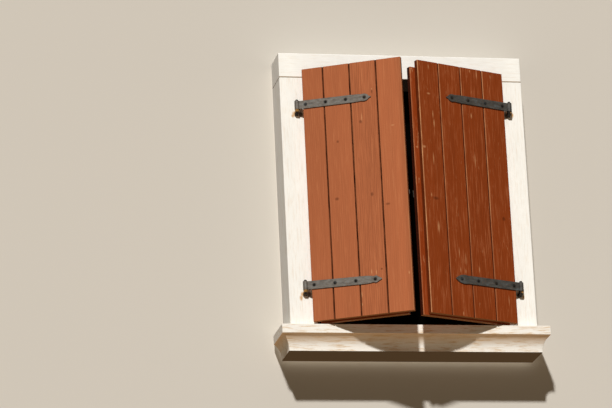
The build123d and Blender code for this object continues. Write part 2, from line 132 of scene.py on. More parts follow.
# Places where the paint has flaked to pale wood: place, height, half width, half height
FLAKES = {
    "left": (
        (296.0, 190.0, 3.5, 16.0),
        (317.0, 186.0, 3.5, 14.0),
        (288.0, 892.0, 3.0, 26.0),
        (424.0, 840.0, 10.0, 3.5),
        (339.0, 1018.0, 3.0, 6.0),
        (248.0, 94.0, 3.0, 18.0),
        (247.5, 50.0, 3.0, 9.0),
        (461.0, 168.0, 4.0, 9.0),
    ),
    "right": (
        (433.0, 1000.0, 11.0, 6.0),
        (412.0, 866.0, 5.0, 24.0),
        (416.0, 906.0, 4.0, 22.0),
        (209.0, 928.0, 5.0, 16.0),
        (472.0, 750.0, 11.0, 8.0),
        (426.0, 1126.0, 3.0, 16.0),
        (168.0, 1126.0, 3.5, 24.0),
        (204.0, 1138.0, 3.5, 10.0),
        (93.0, 1126.0, 3.0, 13.0),
        (426.0, 702.0, 4.0, 34.0),
        (203.0, 722.0, 3.5, 40.0),
        (448.0, 533.0, 4.5, 12.0),
        (420.0, 392.0, 7.0, 30.0),
        (319.0, 286.0, 3.0, 30.0),
        (286.0, 260.0, 3.0, 34.0),
        (317.0, 208.0, 3.0, 16.0),
        (290.0, 204.0, 3.0, 14.0),
        (217.0, 220.0, 3.5, 18.0),
        (316.0, 12.0, 3.5, 12.0),
        (68.0, 98.0, 2.5, 30.0),
    ),
}

STILE_FLAKES = (
    (502.0, 1113.0, 8.0, 6.0),
    (497.0, 1104.0, 3.0, 8.0),
    (507.0, 1100.0, 2.5, 16.0),
    (495.0, 752.0, 8.0, 5.0),
)

# Brightness of the paint, and what streaks, broad bands, late wood and a board's own tone add to it
BASE_TONE = 0.92
STREAK_TONE = 0.34
BAND_TONE = 0.22
LATE_WOOD_TONE = -0.14
OWN_TONE = 0.05
BOARD_JUMP = (3.7, 5.1, 2.3)  # from one board's grain to the next one's, in metres

# How much of the scattered small flakes shows on each kind of board
FLAKED = {"left": 0.08, "right": 0.4, "inner": 0.4, "stile": 0.9}

# Cover of the darker paint on the side faces of the front boards and of the others, of the knots, and of the
# right leaf's joint dirt and painted shade, which is also narrower than the left one's by this share
FRONT_SIDE_DARKENING = 0.5
HIDDEN_SIDE_DARKENING = 0.62
KNOT_SHOW = 0.45
EVEN_DIRT_AND_SHADE = 0.8
NARROWED_DIRT_AND_SHADE = 0.65

# The stones by their cut; what the claw tool's strokes add to their brightness; how much ochre each has
# taken up, and the share of it that is everywhere
STONES = {"upright": ("left_jamb", "right_jamb"), "lying": ("lintel",), "moulded": ("sill",)}
STROKE_TONE = 0.16
OCHRE_AMOUNTS = {"upright": 0.28, "lying": 0.2, "moulded": 0.85}
OCHRE_EVERYWHERE = 0.14
CORNER_SHADE_COVER = 0.85

# From which value of the mottle each iron rusts, and where the rust is full
RUST_RANGES = {
    "left": (0.72, 0.9),
    "right": (0.74, 0.92),
    "bolt": (0.6, 0.8),
    "pintle": (0.56, 0.68),
    "nail": (0.7, 0.9),
}
NAIL_ROUGHNESS = 0.85
NAIL_DIRT = 10.5  # radius of the dirt round a strap nail, in mm
NAIL_DIRT_COVER = 0.9
RIGHT_THROUGH = 1000.0  # depth of a spot in metres, so that it goes through the piece

# Stone arrises are worn round, by these widths in mm
STONE_ARRISES = {"sill": 2.5, "lintel": 1.0, "left_jamb": 1.0, "right_jamb": 1.0}
WELD_REACH = 0.01 * MM
ARRIS_SEGMENTS = 3
ARRIS_ANGLE = 40

# Colours of weather, dirt, painted shade and the smaller pieces
END_GRAIN = "#946640"
OCHRE = "#CC9F58"
PIT_BROWN = "#B8925A"
# Painted warm shade on surfaces facing down
WARM_SHADE_STONE = "#DDAA66"
# Painted shadow on the sill's bed
BED_SHADOW = "#6B5A45"
# Painted shade under the lintel
LINTEL_SHADE = "#0A0705"
RUST_STAIN = "#C98F38"
# Painted shade beside the pintles
CORNER_SHADE = "#2A1C0E"
MORTAR_DARK = "#6E604B"
MORTAR_PALE = "#9A8A70"
IRON_BROWN = "#6B5138"
IRON_BLUE = "#5B6A70"
NAIL_BLACK = "#17110B"
BOLT_IRON = "#413E39"
PINTLE_IRON = "#1A120C"
NAIL_IRON = "#0B0806"

# Camera, as fitted to the corners of the leaves and the surround in the photograph: degrees that it turns
# to the right, looks up and is rolled; metres to the middle of the sill's front arris; and how far that
# lies right of the view's middle, and above it
CAMERA_ANGLES = (11.997, 17.207, -2.739)
CAMERA_DISTANCE = 15.1863
CAMERA_ASIDE = (0.47288, -0.53573)
CAMERA_LENS = 205.9
CAMERA_REACH = 200.0
SENSOR_WIDTH = 36.0
SILL_FALL = 2.3 * MM  # the sill's front arris lies this much below the jambs' feet

# Lamps: azimuth left of the front, elevation, strength, and width of the disc in degrees
LAMPS = {"key": (16.0, 39.0, 3.6, 3.0), "back_light": (180.0, 35.0, 2.0, 20.0)}
# The sunlit ground lights the object from below more than the sky does from above
GROUND_STRENGTH = 0.52
SKY_STRENGTH = 0.03
WARM_FILL = "#FFE4C2"
BACKGROUND_STRENGTH = 0.9
ROOM_SHADE_BLACK = "#050403"
ROOM_SHADE_LAP = 30 * MM
FLOOR_DROP = 0.5 * MM
LYING = (0, 0, 0)
UPRIGHT = (math.pi / 2, 0, 0)


def linear(hex_colour):
    """An sRGB colour such as "#B16340" as linear values with full alpha."""
    channels = [int(hex_colour[place : place + 2], 16) / 255 for place in (1, 3, 5)]
    return (*[c / 12.92 if c <= 0.04045 else ((c + 0.055) / 1.055) ** 2.4 for c in channels], 1.0)


class ShutterSizes(bpy.types.PropertyGroup):
    """Sizes of the finish and of the stage, in metres."""

    # A pixel of the render is about 4.5 mm wide on the boards, so real grain of 1 to 2 mm and tool marks of
    # 2 to 3 mm are drawn about as coarse as that, to show at all
    grain_width: bpy.props.FloatProperty(
        name="Grain width",
        description="Width of one streak of the wood's grain",
        default=4.5 * MM,
        unit="LENGTH",
    )
    grain_length: bpy.props.FloatProperty(
        name="Grain length",
        description="Length of one streak of the grain",
        default=110 * MM,
        unit="LENGTH",
    )
    ring_spacing: bpy.props.FloatProperty(
        name="Ring spacing",
        description="Distance between growth rings on a board",
        default=9 * MM,
        unit="LENGTH",
    )
    # The joints' darkening is dirt and painted shade
    groove_dirt_and_shade: bpy.props.FloatProperty(
        name="Groove dirt",
        description="Half width of the dirt in a board joint",
        default=3.6 * MM,
        unit="LENGTH",
    )
    # The pale line beside a joint is worn wood and partly a painted highlight
    arris_line: bpy.props.FloatProperty(
        name="Arris wear",
        description="Half width of the worn line beside a joint",
        default=1.6 * MM,
        unit="LENGTH",
    )
    tooling: bpy.props.FloatProperty(
        name="Tooling",
        description="Spacing of the mason's tool marks",
        default=5 * MM,
        unit="LENGTH",
    )
    hammer_mark: bpy.props.FloatProperty(
        name="Hammer mark",
        description="Width of a hammer mark on the iron",
        default=7 * MM,
        unit="LENGTH",
    )
    backdrop_gap: bpy.props.FloatProperty(
        name="Backdrop gap",
        description="From the stone's back to the backdrop",
        default=30 * MM,
        unit="LENGTH",
    )
    stage_width: bpy.props.FloatProperty(
        name="Stage width",
        description="Width of the floor and the backdrop",
        default=40.0,
        unit="LENGTH",
    )


class ShutterColours(bpy.types.PropertyGroup):
    """Colours of the finishes."""

    left_paint: bpy.props.FloatVectorProperty(
        name="Left paint",
        description="Faded paint of the left leaf",
        subtype="COLOR",
        size=4,
        default=linear("#A65F3B"),
    )
    right_paint: bpy.props.FloatVectorProperty(
        name="Right paint",
        description="Deeper paint of the right leaf",
        subtype="COLOR",
        size=4,
        default=linear("#863B16"),
    )
    stile_paint: bpy.props.FloatVectorProperty(
        name="Stile paint",
        description="Paint of the meeting stile",
        subtype="COLOR",
        size=4,
        default=linear("#8E3B14"),
    )
    faded_paint: bpy.props.FloatVectorProperty(
        name="Faded paint",
        description="Paint bleached in the grain",
        subtype="COLOR",
        size=4,
        default=linear("#C27E54"),
    )
    bare_wood: bpy.props.FloatVectorProperty(
        name="Bare wood",
        description="Pale wood where paint has flaked",
        subtype="COLOR",
        size=4,
        default=linear("#E4AC78"),
    )
    # Colour of the joints' dirt and painted shade, and of the knots
    groove: bpy.props.FloatVectorProperty(
        name="Groove",
        description="Dirt in the joints between boards",
        subtype="COLOR",
        size=4,
        default=linear("#2A0A02"),
    )
    # Darker paint on the boards' side faces
    darker_side_face: bpy.props.FloatVectorProperty(
        name="Soiled edge",
        description="Dark paint of the boards' edges",
        subtype="COLOR",
        size=4,
        default=linear("#2A0C02"),
    )
    stone: bpy.props.FloatVectorProperty(
        name="Stone",
        description="Cream limestone",
        subtype="COLOR",
        size=4,
        default=linear("#FCFAF2"),
    )
    left_iron: bpy.props.FloatVectorProperty(
        name="Left iron",
        description="Iron of the left leaf's straps",
        subtype="COLOR",
        size=4,
        default=linear("#66615A"),
    )
    right_iron: bpy.props.FloatVectorProperty(
        name="Right iron",
        description="Iron of the right leaf's straps",
        subtype="COLOR",
        size=4,
        default=linear("#444340"),
    )
    rust: bpy.props.FloatVectorProperty(
        name="Rust",
        description="Golden rust",
        subtype="COLOR",
        size=4,
        default=linear("#CFA05C"),
    )
    backdrop: bpy.props.FloatVectorProperty(
        name="Backdrop",
        description="Plain pale floor and backdrop",
        subtype="COLOR",
        size=4,
        default=linear("#CFC8BC"),
    )


# Materials


def add(tree, kind, inputs=None, output=0, **settings):
    """Add a node with its settings, set or link its inputs, and return one of its outputs."""
    node = tree.nodes.new(kind)
    for name, value in settings.items():
        setattr(node, name, value)
    for socket, value in (inputs or {}).items():
        if isinstance(value, bpy.types.NodeSocket):
            tree.links.new(value, node.inputs[socket])
        else:
            node.inputs[socket].default_value = value
    return node.outputs[output] if node.outputs else node


def new_material(name):
    """A node material with nothing in it yet."""
    material = bpy.data.materials.new(name)
    material.use_nodes = True
    material.node_tree.nodes.clear()
    return material


def set_material(nodes, material):
    """Give CAD nodes one material."""
    for name in nodes:
        piece = frame["nodes"][name]
        piece.data.materials.clear()
        piece.data.materials.append(material)


def soften(name, width):
    """Round the arrises of a stone, whose loose triangles are merged first."""
    piece = frame["nodes"][name]
    weld = piece.modifiers.new("merge", "WELD")
    weld.merge_threshold = WELD_REACH
    bevel = piece.modifiers.new("soft_arris", "BEVEL")
    bevel.width = width
    bevel.segments = ARRIS_SEGMENTS
    bevel.limit_method = "ANGLE"
    bevel.angle_limit = math.radians(ARRIS_ANGLE)


def leaf_turn(side):
    """Angle from the object's X to the direction from a leaf's pins along its boards."""
    open_angle = math.radians(-joints[f"{side}_leaf_hinge"]["range_deg"][0])
    return -open_angle if side == "left" else math.pi + open_angle


def leaf_vector(tree, side):
    """Object coordinates seen from the leaf: X from the pins along the boards, Z up from their bottom."""
    pin = joints[f"{side}_leaf_hinge"]["pos_m"]
    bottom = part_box(f"{side}_front_board_1")[0][2]
    coordinates = add(tree, "ShaderNodeTexCoord", output="Object")
    return add(
        tree,
        "ShaderNodeMapping",
        {"Vector": coordinates, "Location": (pin[0], pin[1], bottom), "Rotation": (0, 0, leaf_turn(side))},
        vector_type="TEXTURE",
    )


def count_past(tree, value, places):
    """How many of the places, in mm, a coordinate has passed."""
    count = 0.0
    for place in places:
        passed = add(tree, "ShaderNodeMath", {0: value, 1: place * MM}, operation="GREATER_THAN")
        count = add(tree, "ShaderNodeMath", {0: count, 1: passed}, operation="ADD")
    return count


def near_places(tree, value, places, shift, reach, amounts):
    """A place's own amount where a coordinate lies within `reach` of the place moved by `shift`."""
    found = 0.0
    for place, amount in zip(places, amounts):
        near = add(tree, "ShaderNodeMath", {0: value, 1: place * MM + shift, 2: reach}, operation="COMPARE")
        near = add(tree, "ShaderNodeMath", {0: near, 1: amount}, operation="MULTIPLY")
        found = add(tree, "ShaderNodeMath", {0: found, 1: near}, operation="MAXIMUM")
    return found


def per_board(tree, board, amounts):
    """The amount that belongs to the board."""
    chosen = 0.0
    for number, amount in enumerate(amounts):
        this_one = add(tree, "ShaderNodeMath", {0: board, 1: number, 2: 0.5}, operation="COMPARE")
        chosen = add(tree, "ShaderNodeMath", {0: this_one, 1: amount, 2: chosen}, operation="MULTIPLY_ADD")
    return chosen


def spots(tree, vector, places, soft):
    """1 inside the ellipses, falling off to 0 over the outer share `soft` of each."""
    found = 0.0
    for along, height, half_width, half_height in places:
        centre = (along * MM, 0, height * MM)
        half_size = (half_width * MM, RIGHT_THROUGH, half_height * MM)
        local = add(
            tree,
            "ShaderNodeMapping",
            {"Vector": vector, "Location": centre, "Scale": half_size},
            vector_type="TEXTURE",
        )
        distance = add(tree, "ShaderNodeVectorMath", {0: local}, output="Value", operation="LENGTH")
        inside = add(tree, "ShaderNodeMapRange", {"Value": distance, "From Min": 1.0, "From Max": 1.0 - soft})
        found = add(tree, "ShaderNodeMath", {0: found, 1: inside}, operation="MAXIMUM")
    return found


def by_pintles(places):
    """Spots counted from each pintle's pin and foot, as places on the object in mm."""
    found = []
    for side in SIDES:
        pin = joints[f"{side}_leaf_hinge"]["pos_m"][0] / MM
        outwards = -1 if side == "left" else 1
        for level in LEVELS:
            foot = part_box(f"{side}_{level}_pintle")[0][2] / MM
            for out, up, half_width, half_height in places[f"{side}_{level}"]:
                found.append((pin + outwards * out, foot + up, half_width, half_height))
    return found


def blotches(tree, vector, sizes, detail=3.0, roughness=0.55):
    """Uneven blotches or streaks, about 0 to 1, whose sizes in metres are given along X, Y and Z."""
    scaled = add(tree, "ShaderNodeMapping", {"Vector": vector, "Scale": [1 / size for size in sizes]})
    return add(
        tree,
        "ShaderNodeTexNoise",
        {"Vector": scaled, "Scale": 1.0, "Detail": detail, "Roughness": roughness},
    )


def with_grain(sizes, across):
    """Sizes across, through and along the grain, in the order X, Y and Z of upright or lying boards."""
    return sizes[::-1] if across else sizes


def pine_grain(tree, vector, sizes, across):
    """Fine streaks, broad bands and growth rings of sawn pine, each from 0 to 1."""
    wide, long = sizes.grain_width, sizes.grain_length
    fine = blotches(tree, vector, with_grain((wide, 3 * wide, long), across), detail=4.0, roughness=0.62)
    broad = blotches(tree, vector, with_grain((8 * wide, 200 * MM, 5 * long), across), detail=2.0)
    # Rings run nearly straight along a board. A wave of scale 1 repeats every pi / 10 metres.
    drawn_out = add(tree, "ShaderNodeMapping", {"Vector": vector, "Scale": with_grain((1, 1, 0.1), across)})
    rings = add(
        tree,
        "ShaderNodeTexWave",
        {
            "Vector": drawn_out,
            "Scale": math.pi / (10 * sizes.ring_spacing),
            "Distortion": 7.0,
            "Detail": 2.0,
            "Detail Scale": 1.2,
        },
        output="Fac",
        bands_direction="Z" if across else "X",
        wave_profile="SAW",
    )
    return fine, broad, rings


def board_tone(tree, side, board, counted, grain, face):
    """Brightness of the paint, as streaks, broad bands, late wood and each board's own tone change it."""
    fine, broad, rings = grain
    depth = per_board(tree, board, GRAIN_DEPTHS[side]) if face else 1.0
    streak = add(tree, "ShaderNodeMath", {0: fine, 1: 0.5}, operation="SUBTRACT")
    streak = add(tree, "ShaderNodeMath", {0: streak, 1: depth}, operation="MULTIPLY")
    late_wood = add(tree, "ShaderNodeMath", {0: rings, 1: 3.0}, operation="POWER")
    late_wood = add(tree, "ShaderNodeMath", {0: late_wood, 1: depth}, operation="MULTIPLY")
    own = add(tree, "ShaderNodeTexWhiteNoise", {"W": board}, noise_dimensions="1D")
    tone = add(tree, "ShaderNodeMath", {0: streak, 1: STREAK_TONE, 2: BASE_TONE}, operation="MULTIPLY_ADD")
    tone = add(tree, "ShaderNodeMath", {0: broad, 1: BAND_TONE, 2: tone}, operation="MULTIPLY_ADD")
    tone = add(tree, "ShaderNodeMath", {0: late_wood, 1: LATE_WOOD_TONE, 2: tone}, operation="MULTIPLY_ADD")
    tone = add(tree, "ShaderNodeMath", {0: own, 1: OWN_TONE, 2: tone}, operation="MULTIPLY_ADD")
    if face:
        given = per_board(tree, board, BOARD_TONES[side])
        tone = add(tree, "ShaderNodeMath", {0: tone, 1: given}, operation="MULTIPLY")
    if face and side == "left":
        # The paint grows darker towards the free edge
        edge = FREE_EDGE[side] * MM
        darker_to_edge = add(
            tree,
            "ShaderNodeMapRange",
            {
                "Value": counted,
                "From Min": edge - 32 * MM,
                "From Max": edge - 6 * MM,
                "To Min": 1.0,
                "To Max": 0.86,
            },
        )
        tone = add(tree, "ShaderNodeMath", {0: tone, 1: darker_to_edge}, operation="MULTIPLY")
    return tone


def flaked_off(tree, vector, own, amount, flakes, across):
    """Where the paint has left the wood: short flakes along the grain, and the large ones in their places."""
    fleck_size = with_grain((2.6 * MM, 10 * MM, 35 * MM), across)
    fleck = blotches(tree, own, fleck_size, detail=2.0, roughness=0.5)
    fleck = add(tree, "ShaderNodeMapRange", {"Value": fleck, "From Min": 0.64, "From Max": 0.76})
    patch = blotches(tree, own, (50 * MM, 50 * MM, 140 * MM), detail=1.0)
    patch = add(tree, "ShaderNodeMapRange", {"Value": patch, "From Min": 0.46, "From Max": 0.62})
    bare = add(tree, "ShaderNodeMath", {0: fleck, 1: patch}, operation="MULTIPLY")
    bare = add(tree, "ShaderNodeMath", {0: bare, 1: amount}, operation="MULTIPLY")
    if flakes:
        placed = spots(tree, vector, flakes, soft=0.85)
        broken = add(tree, "ShaderNodeMapRange", {"Value": fleck, "To Min": 0.45})
        placed = add(tree, "ShaderNodeMath", {0: placed, 1: broken}, operation="MULTIPLY")
        bare = add(tree, "ShaderNodeMath", {0: bare, 1: placed}, operation="MAXIMUM")
    return bare


def worn_and_lit_arrises(tree, side, counted, height, joint_places, reach, face):
    """The pale arris to the right of each joint, and on the front boards the one of the free edge: partly wear,
    partly a painted highlight.
    """
    shift = -ARRIS_SHIFT if side == "right" else ARRIS_SHIFT
    paleness = ARRIS_WEAR_AND_HIGHLIGHT[side] if face else (HIDDEN_WEAR,) * len(joint_places)
    worn_and_lit = near_places(tree, counted, joint_places, shift, reach, paleness)
    if face:
        # The pale arris is fainter near the bottom than in the upper half
        weather = add(
            tree,
            "ShaderNodeMapRange",
            {"Value": height, "From Min": 150 * MM, "From Max": 700 * MM, "To Min": 0.45},
        )
        worn_and_lit = add(tree, "ShaderNodeMath", {0: worn_and_lit, 1: weather}, operation="MULTIPLY")
        free = near_places(
            tree, counted, (FREE_EDGE[side],), FREE_ARRIS_SHIFT, FREE_ARRIS_HALF_WIDTH, paleness[-1:]
        )
        worn_and_lit = add(tree, "ShaderNodeMath", {0: worn_and_lit, 1: free}, operation="MAXIMUM")
    return worn_and_lit


def plank_paint(
    context, name, side, colour, joint_places, flaked, across=False, face=False, flakes=(), knots=()
):
    """Old linseed paint on brushed pine planks: matt and chalky, the raised grain showing through it,
    dirt and painted shade in the joints, pale arrises partly painted highlights, pale wood where it has flaked."""
    sizes, colours = context.scene.shutter_sizes, context.scene.shutter_colours
    material = new_material(name)
    tree = material.node_tree
    vector = leaf_vector(tree, side)
    height = add(tree, "ShaderNodeSeparateXYZ", {"Vector": vector}, output="Z")
    counted = height if across else add(tree, "ShaderNodeSeparateXYZ", {"Vector": vector}, output="X")
    board = count_past(tree, counted, joint_places)

    # Each board is cut from another part of the tree, so its grain starts elsewhere
    jump = add(tree, "ShaderNodeVectorMath", {0: BOARD_JUMP, "Scale": board}, operation="SCALE")
    own = add(tree, "ShaderNodeVectorMath", {0: vector, 1: jump}, operation="ADD")
    fine, broad, rings = pine_grain(tree, own, sizes, across)
    tone = board_tone(tree, side, board, counted, (fine, broad, rings), face)
    painted = add(tree, "ShaderNodeHueSaturation", {"Color": colour, "Value": tone})
    coats = []  # laid over the paint, the lowest first: how far each covers it, and its colour

    # Chalky bloom in the grain's hollows, then flakes and knots
    bloom = add(tree, "ShaderNodeMapRange", {"Value": fine, "From Min": 0.54, "From Max": 0.76, "To Max": 0.5})
    coats.append((bloom, colours.faded_paint))
    bare = flaked_off(tree, vector, own, flaked, flakes, across)
    coats.append((bare, colours.bare_wood))
    if knots:
        knot = spots(tree, vector, knots, soft=0.6)
        faint = add(tree, "ShaderNodeMath", {0: knot, 1: KNOT_SHOW}, operation="MULTIPLY")
        coats.append((faint, colours.groove))

    # The boards' side faces, edge-on along the leaf, are painted darker
    normal = add(tree, "ShaderNodeTexCoord", output="Normal")
    along = (math.cos(leaf_turn(side)), math.sin(leaf_turn(side)), 0)
    edge_on = add(tree, "ShaderNodeVectorMath", {0: normal, 1: along}, output="Value", operation="DOT_PRODUCT")
    edge_on = add(tree, "ShaderNodeMapRange", {"Value": edge_on, "From Min": 0.8, "From Max": 0.95})
    side_darkening = FRONT_SIDE_DARKENING if face else HIDDEN_SIDE_DARKENING
    darkened_sides = add(tree, "ShaderNodeMath", {0: edge_on, 1: side_darkening}, operation="MULTIPLY")
    coats.append((darkened_sides, colours.darker_side_face))

    # Pale arrises, partly worn and partly painted highlight, stronger in some stretches than in others, and not
    # on the edge itself
    rubs = blotches(tree, own, (300 * MM, 300 * MM, 300 * MM if across else 60 * MM), detail=2.0)
    uneven = add(
        tree, "ShaderNodeMapRange", {"Value": rubs, "From Min": 0.35, "From Max": 0.6, "To Min": 0.45}
    )
    worn_and_lit = worn_and_lit_arrises(tree, side, counted, height, joint_places, sizes.arris_line, face)
    worn_and_lit = add(tree, "ShaderNodeMath", {0: worn_and_lit, 1: uneven}, operation="MULTIPLY")
    on_face = add(tree, "ShaderNodeMath", {0: 1.0, 1: edge_on}, operation="SUBTRACT")
    worn_and_lit = add(tree, "ShaderNodeMath", {0: worn_and_lit, 1: on_face}, operation="MULTIPLY")
    coats.append((worn_and_lit, colours.bare_wood))

    # Dirt and painted shade in the joints: uneven on the left leaf, narrower and even on the right one
    reach, dirt = NARROWED_DIRT_AND_SHADE * sizes.groove_dirt_and_shade, EVEN_DIRT_AND_SHADE
    if side == "left":
        reach = sizes.groove_dirt_and_shade
        dirt = add(
            tree,
            "ShaderNodeMapRange",
            {"Value": rubs, "From Min": 0.35, "From Max": 0.65, "To Min": 0.55, "To Max": 0.97},
        )
    dirt_and_shade = near_places(tree, counted, joint_places, 0.0, reach, (1.0,) * len(joint_places))
    dirt_and_shade = add(tree, "ShaderNodeMath", {0: dirt_and_shade, 1: dirt}, operation="MULTIPLY")
    coats.append((dirt_and_shade, colours.groove))

    # End grain and the undersides stay brown and soak up dirt
    facing_up = add(tree, "ShaderNodeSeparateXYZ", {"Vector": normal}, output="Z")
    upright = add(tree, "ShaderNodeMath", {0: facing_up}, operation="ABSOLUTE")
    end_grain = add(
        tree, "ShaderNodeMapRange", {"Value": upright, "From Min": 0.8, "From Max": 0.95, "To Max": 0.8}
    )
    coats.append((end_grain, linear(END_GRAIN)))

    for cover, coat in coats:
        painted = add(
            tree,
            "ShaderNodeMix",
            {MIX_FACTOR: cover, MIX_A: painted, MIX_B: coat},
            output=MIX_RESULT,
            data_type="RGBA",
        )
    relief = add(tree, "ShaderNodeMath", {0: rings, 1: 0.5, 2: fine}, operation="MULTIPLY_ADD")
    relief = add(tree, "ShaderNodeMath", {0: bare, 1: -0.8, 2: relief}, operation="MULTIPLY_ADD")
    bump = add(tree, "ShaderNodeBump", {"Height": relief, "Strength": 0.6, "Distance": 0.5 * MM})
    rough = add(
        tree,
        "ShaderNodeMapRange",
        {"Value": fine, "From Min": 0.3, "From Max": 0.7, "To Min": 0.52, "To Max": 0.7},
    )
    shader = add(
        tree,
        "ShaderNodeBsdfPrincipled",
        {"Base Color": painted, "Roughness": rough, "Normal": bump, "Specular IOR Level": 0.05},
    )
    add(tree, "ShaderNodeOutputMaterial", {"Surface": shader})
    return material


def limestone(context, name, lying, ochre_amount):
    """Soft cream limestone, dressed with a fine claw tool and washed by rain: matt, with thin streaks
    along the stone, ochre specks and rust by the pintles, and painted shade on its undersides, the sill's bed,
    under the lintel and beside the pintles."""
    sizes, colours = context.scene.shutter_sizes, context.scene.shutter_colours
    material = new_material(name)
    tree = material.node_tree
    vector = add(tree, "ShaderNodeTexCoord", output="Object")
    normal = add(tree, "ShaderNodeTexCoord", output="Normal")
    height = add(tree, "ShaderNodeSeparateXYZ", {"Vector": vector}, output="Z")
    facing_back = add(tree, "ShaderNodeSeparateXYZ", {"Vector": normal}, output="Y")
    facing_up = add(tree, "ShaderNodeSeparateXYZ", {"Vector": normal}, output="Z")

    # Clouds in the stone, and the strokes of the claw tool along it
    cloud = blotches(tree, vector, (120 * MM, 120 * MM, 300 * MM), detail=4.0)
    grit = blotches(tree, vector, (2.5 * MM, 2.5 * MM, 2.5 * MM))
    narrow, long = sizes.tooling, 8 * sizes.tooling
    stroke_size = (long, narrow, narrow) if lying else (narrow, narrow, long)
    strokes = blotches(tree, vector, stroke_size, roughness=0.6)
    tone = add(
        tree,
        "ShaderNodeMapRange",
        {"Value": cloud, "From Min": 0.3, "From Max": 0.7, "To Min": 0.885, "To Max": 0.965},
    )
    tone = add(tree, "ShaderNodeMath", {0: strokes, 1: STROKE_TONE, 2: tone}, operation="MULTIPLY_ADD")
    stone = add(tree, "ShaderNodeHueSaturation", {"Color": colours.stone, "Value": tone})
    coats = []  # laid over the stone, the lowest first: how far each covers it, and its colour

    # Ochre has gathered along the strokes, and in the pits
    streak_size = (75 * MM, 9 * MM, 9 * MM) if lying else (7 * MM, 10 * MM, 80 * MM)
    ochre = blotches(tree, vector, streak_size, detail=4.0, roughness=0.62)
    ochre = add(
        tree,
        "ShaderNodeMapRange",
        {
            "Value": ochre,
            "From Min": 0.5,
            "From Max": 0.74,
            "To Min": OCHRE_EVERYWHERE * ochre_amount,
            "To Max": ochre_amount,
        },
    )
    coats.append((ochre, linear(OCHRE)))
    pits = add(tree, "ShaderNodeMapRange", {"Value": grit, "From Min": 0.6, "From Max": 0.76, "To Max": 0.3})
    coats.append((pits, linear(PIT_BROWN)))

    # Painted shade: warm on surfaces facing down, a painted shadow on the sill's bed, and near-black under the
    # lintel
    warm_shade = add(
        tree, "ShaderNodeMapRange", {"Value": facing_up, "From Min": -0.3, "From Max": -0.75, "To Max": 0.6}
    )
    coats.append((warm_shade, linear(WARM_SHADE_STONE)))
    bed = add(tree, "ShaderNodeMath", {0: height, 1: 1 * MM}, operation="LESS_THAN")
    coats.append((bed, linear(BED_SHADOW)))
    down = add(
        tree, "ShaderNodeMapRange", {"Value": facing_up, "From Min": -0.8, "From Max": -0.95, "To Max": 0.97}
    )
    half_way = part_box("lintel")[0][2] / 2
    above = add(tree, "ShaderNodeMath", {0: height, 1: half_way}, operation="GREATER_THAN")
    lintel_shade = add(tree, "ShaderNodeMath", {0: down, 1: above}, operation="MULTIPLY")
    coats.append((lintel_shade, linear(LINTEL_SHADE)))

    # Rust that the rain has carried out of each pintle's hole, and painted shade in the corner beside it
    front = add(tree, "ShaderNodeMapRange", {"Value": facing_back, "From Min": -0.5, "From Max": -0.9})
    rusty = spots(tree, vector, by_pintles(RUST_PLACES), soft=0.65)
    patchy = add(
        tree, "ShaderNodeMapRange", {"Value": grit, "From Min": 0.35, "From Max": 0.6, "To Min": 0.45}
    )
    rusty = add(tree, "ShaderNodeMath", {0: rusty, 1: patchy}, operation="MULTIPLY")
    rusty = add(tree, "ShaderNodeMath", {0: rusty, 1: front}, operation="MULTIPLY")
    coats.append((rusty, linear(RUST_STAIN)))
    corner_shade = spots(tree, vector, by_pintles(CORNER_SHADE_PLACES), soft=0.6)
    corner_shade = add(tree, "ShaderNodeMath", {0: corner_shade, 1: front}, operation="MULTIPLY")
    corner_shade = add(tree, "ShaderNodeMath", {0: corner_shade, 1: CORNER_SHADE_COVER}, operation="MULTIPLY")
    coats.append((corner_shade, linear(CORNER_SHADE)))

    for cover, coat in coats:
        stone = add(
            tree,
            "ShaderNodeMix",
            {MIX_FACTOR: cover, MIX_A: stone, MIX_B: coat},
            output=MIX_RESULT,
            data_type="RGBA",
        )
    relief = add(tree, "ShaderNodeMath", {0: grit, 1: 0.35, 2: strokes}, operation="MULTIPLY_ADD")
    bump = add(tree, "ShaderNodeBump", {"Height": relief, "Strength": 0.45, "Distance": 0.8 * MM})
    shader = add(
        tree,
        "ShaderNodeBsdfPrincipled",
        {"Base Color": stone, "Roughness": 0.92, "Normal": bump, "Specular IOR Level": 0.1},
    )
    add(tree, "ShaderNodeOutputMaterial", {"Surface": shader})
    return material


def lime_mortar():
    """Raked lime mortar: grey-brown, with the grains of its sand showing only from near."""
    material = new_material("lime_mortar")
    tree = material.node_tree
    vector = add(tree, "ShaderNodeTexCoord", output="Object")
    sand = blotches(tree, vector, (1.5 * MM, 1.5 * MM, 1.5 * MM), detail=2.0)
    colour = add(
        tree,
        "ShaderNodeMix",
        {MIX_FACTOR: sand, MIX_A: linear(MORTAR_DARK), MIX_B: linear(MORTAR_PALE)},
        output=MIX_RESULT,
        data_type="RGBA",
    )
    bump = add(tree, "ShaderNodeBump", {"Height": sand, "Strength": 0.6, "Distance": 0.6 * MM})
    shader = add(tree, "ShaderNodeBsdfPrincipled", {"Base Color": colour, "Roughness": 0.95, "Normal": bump})
    add(tree, "ShaderNodeOutputMaterial", {"Surface": shader})
    return material


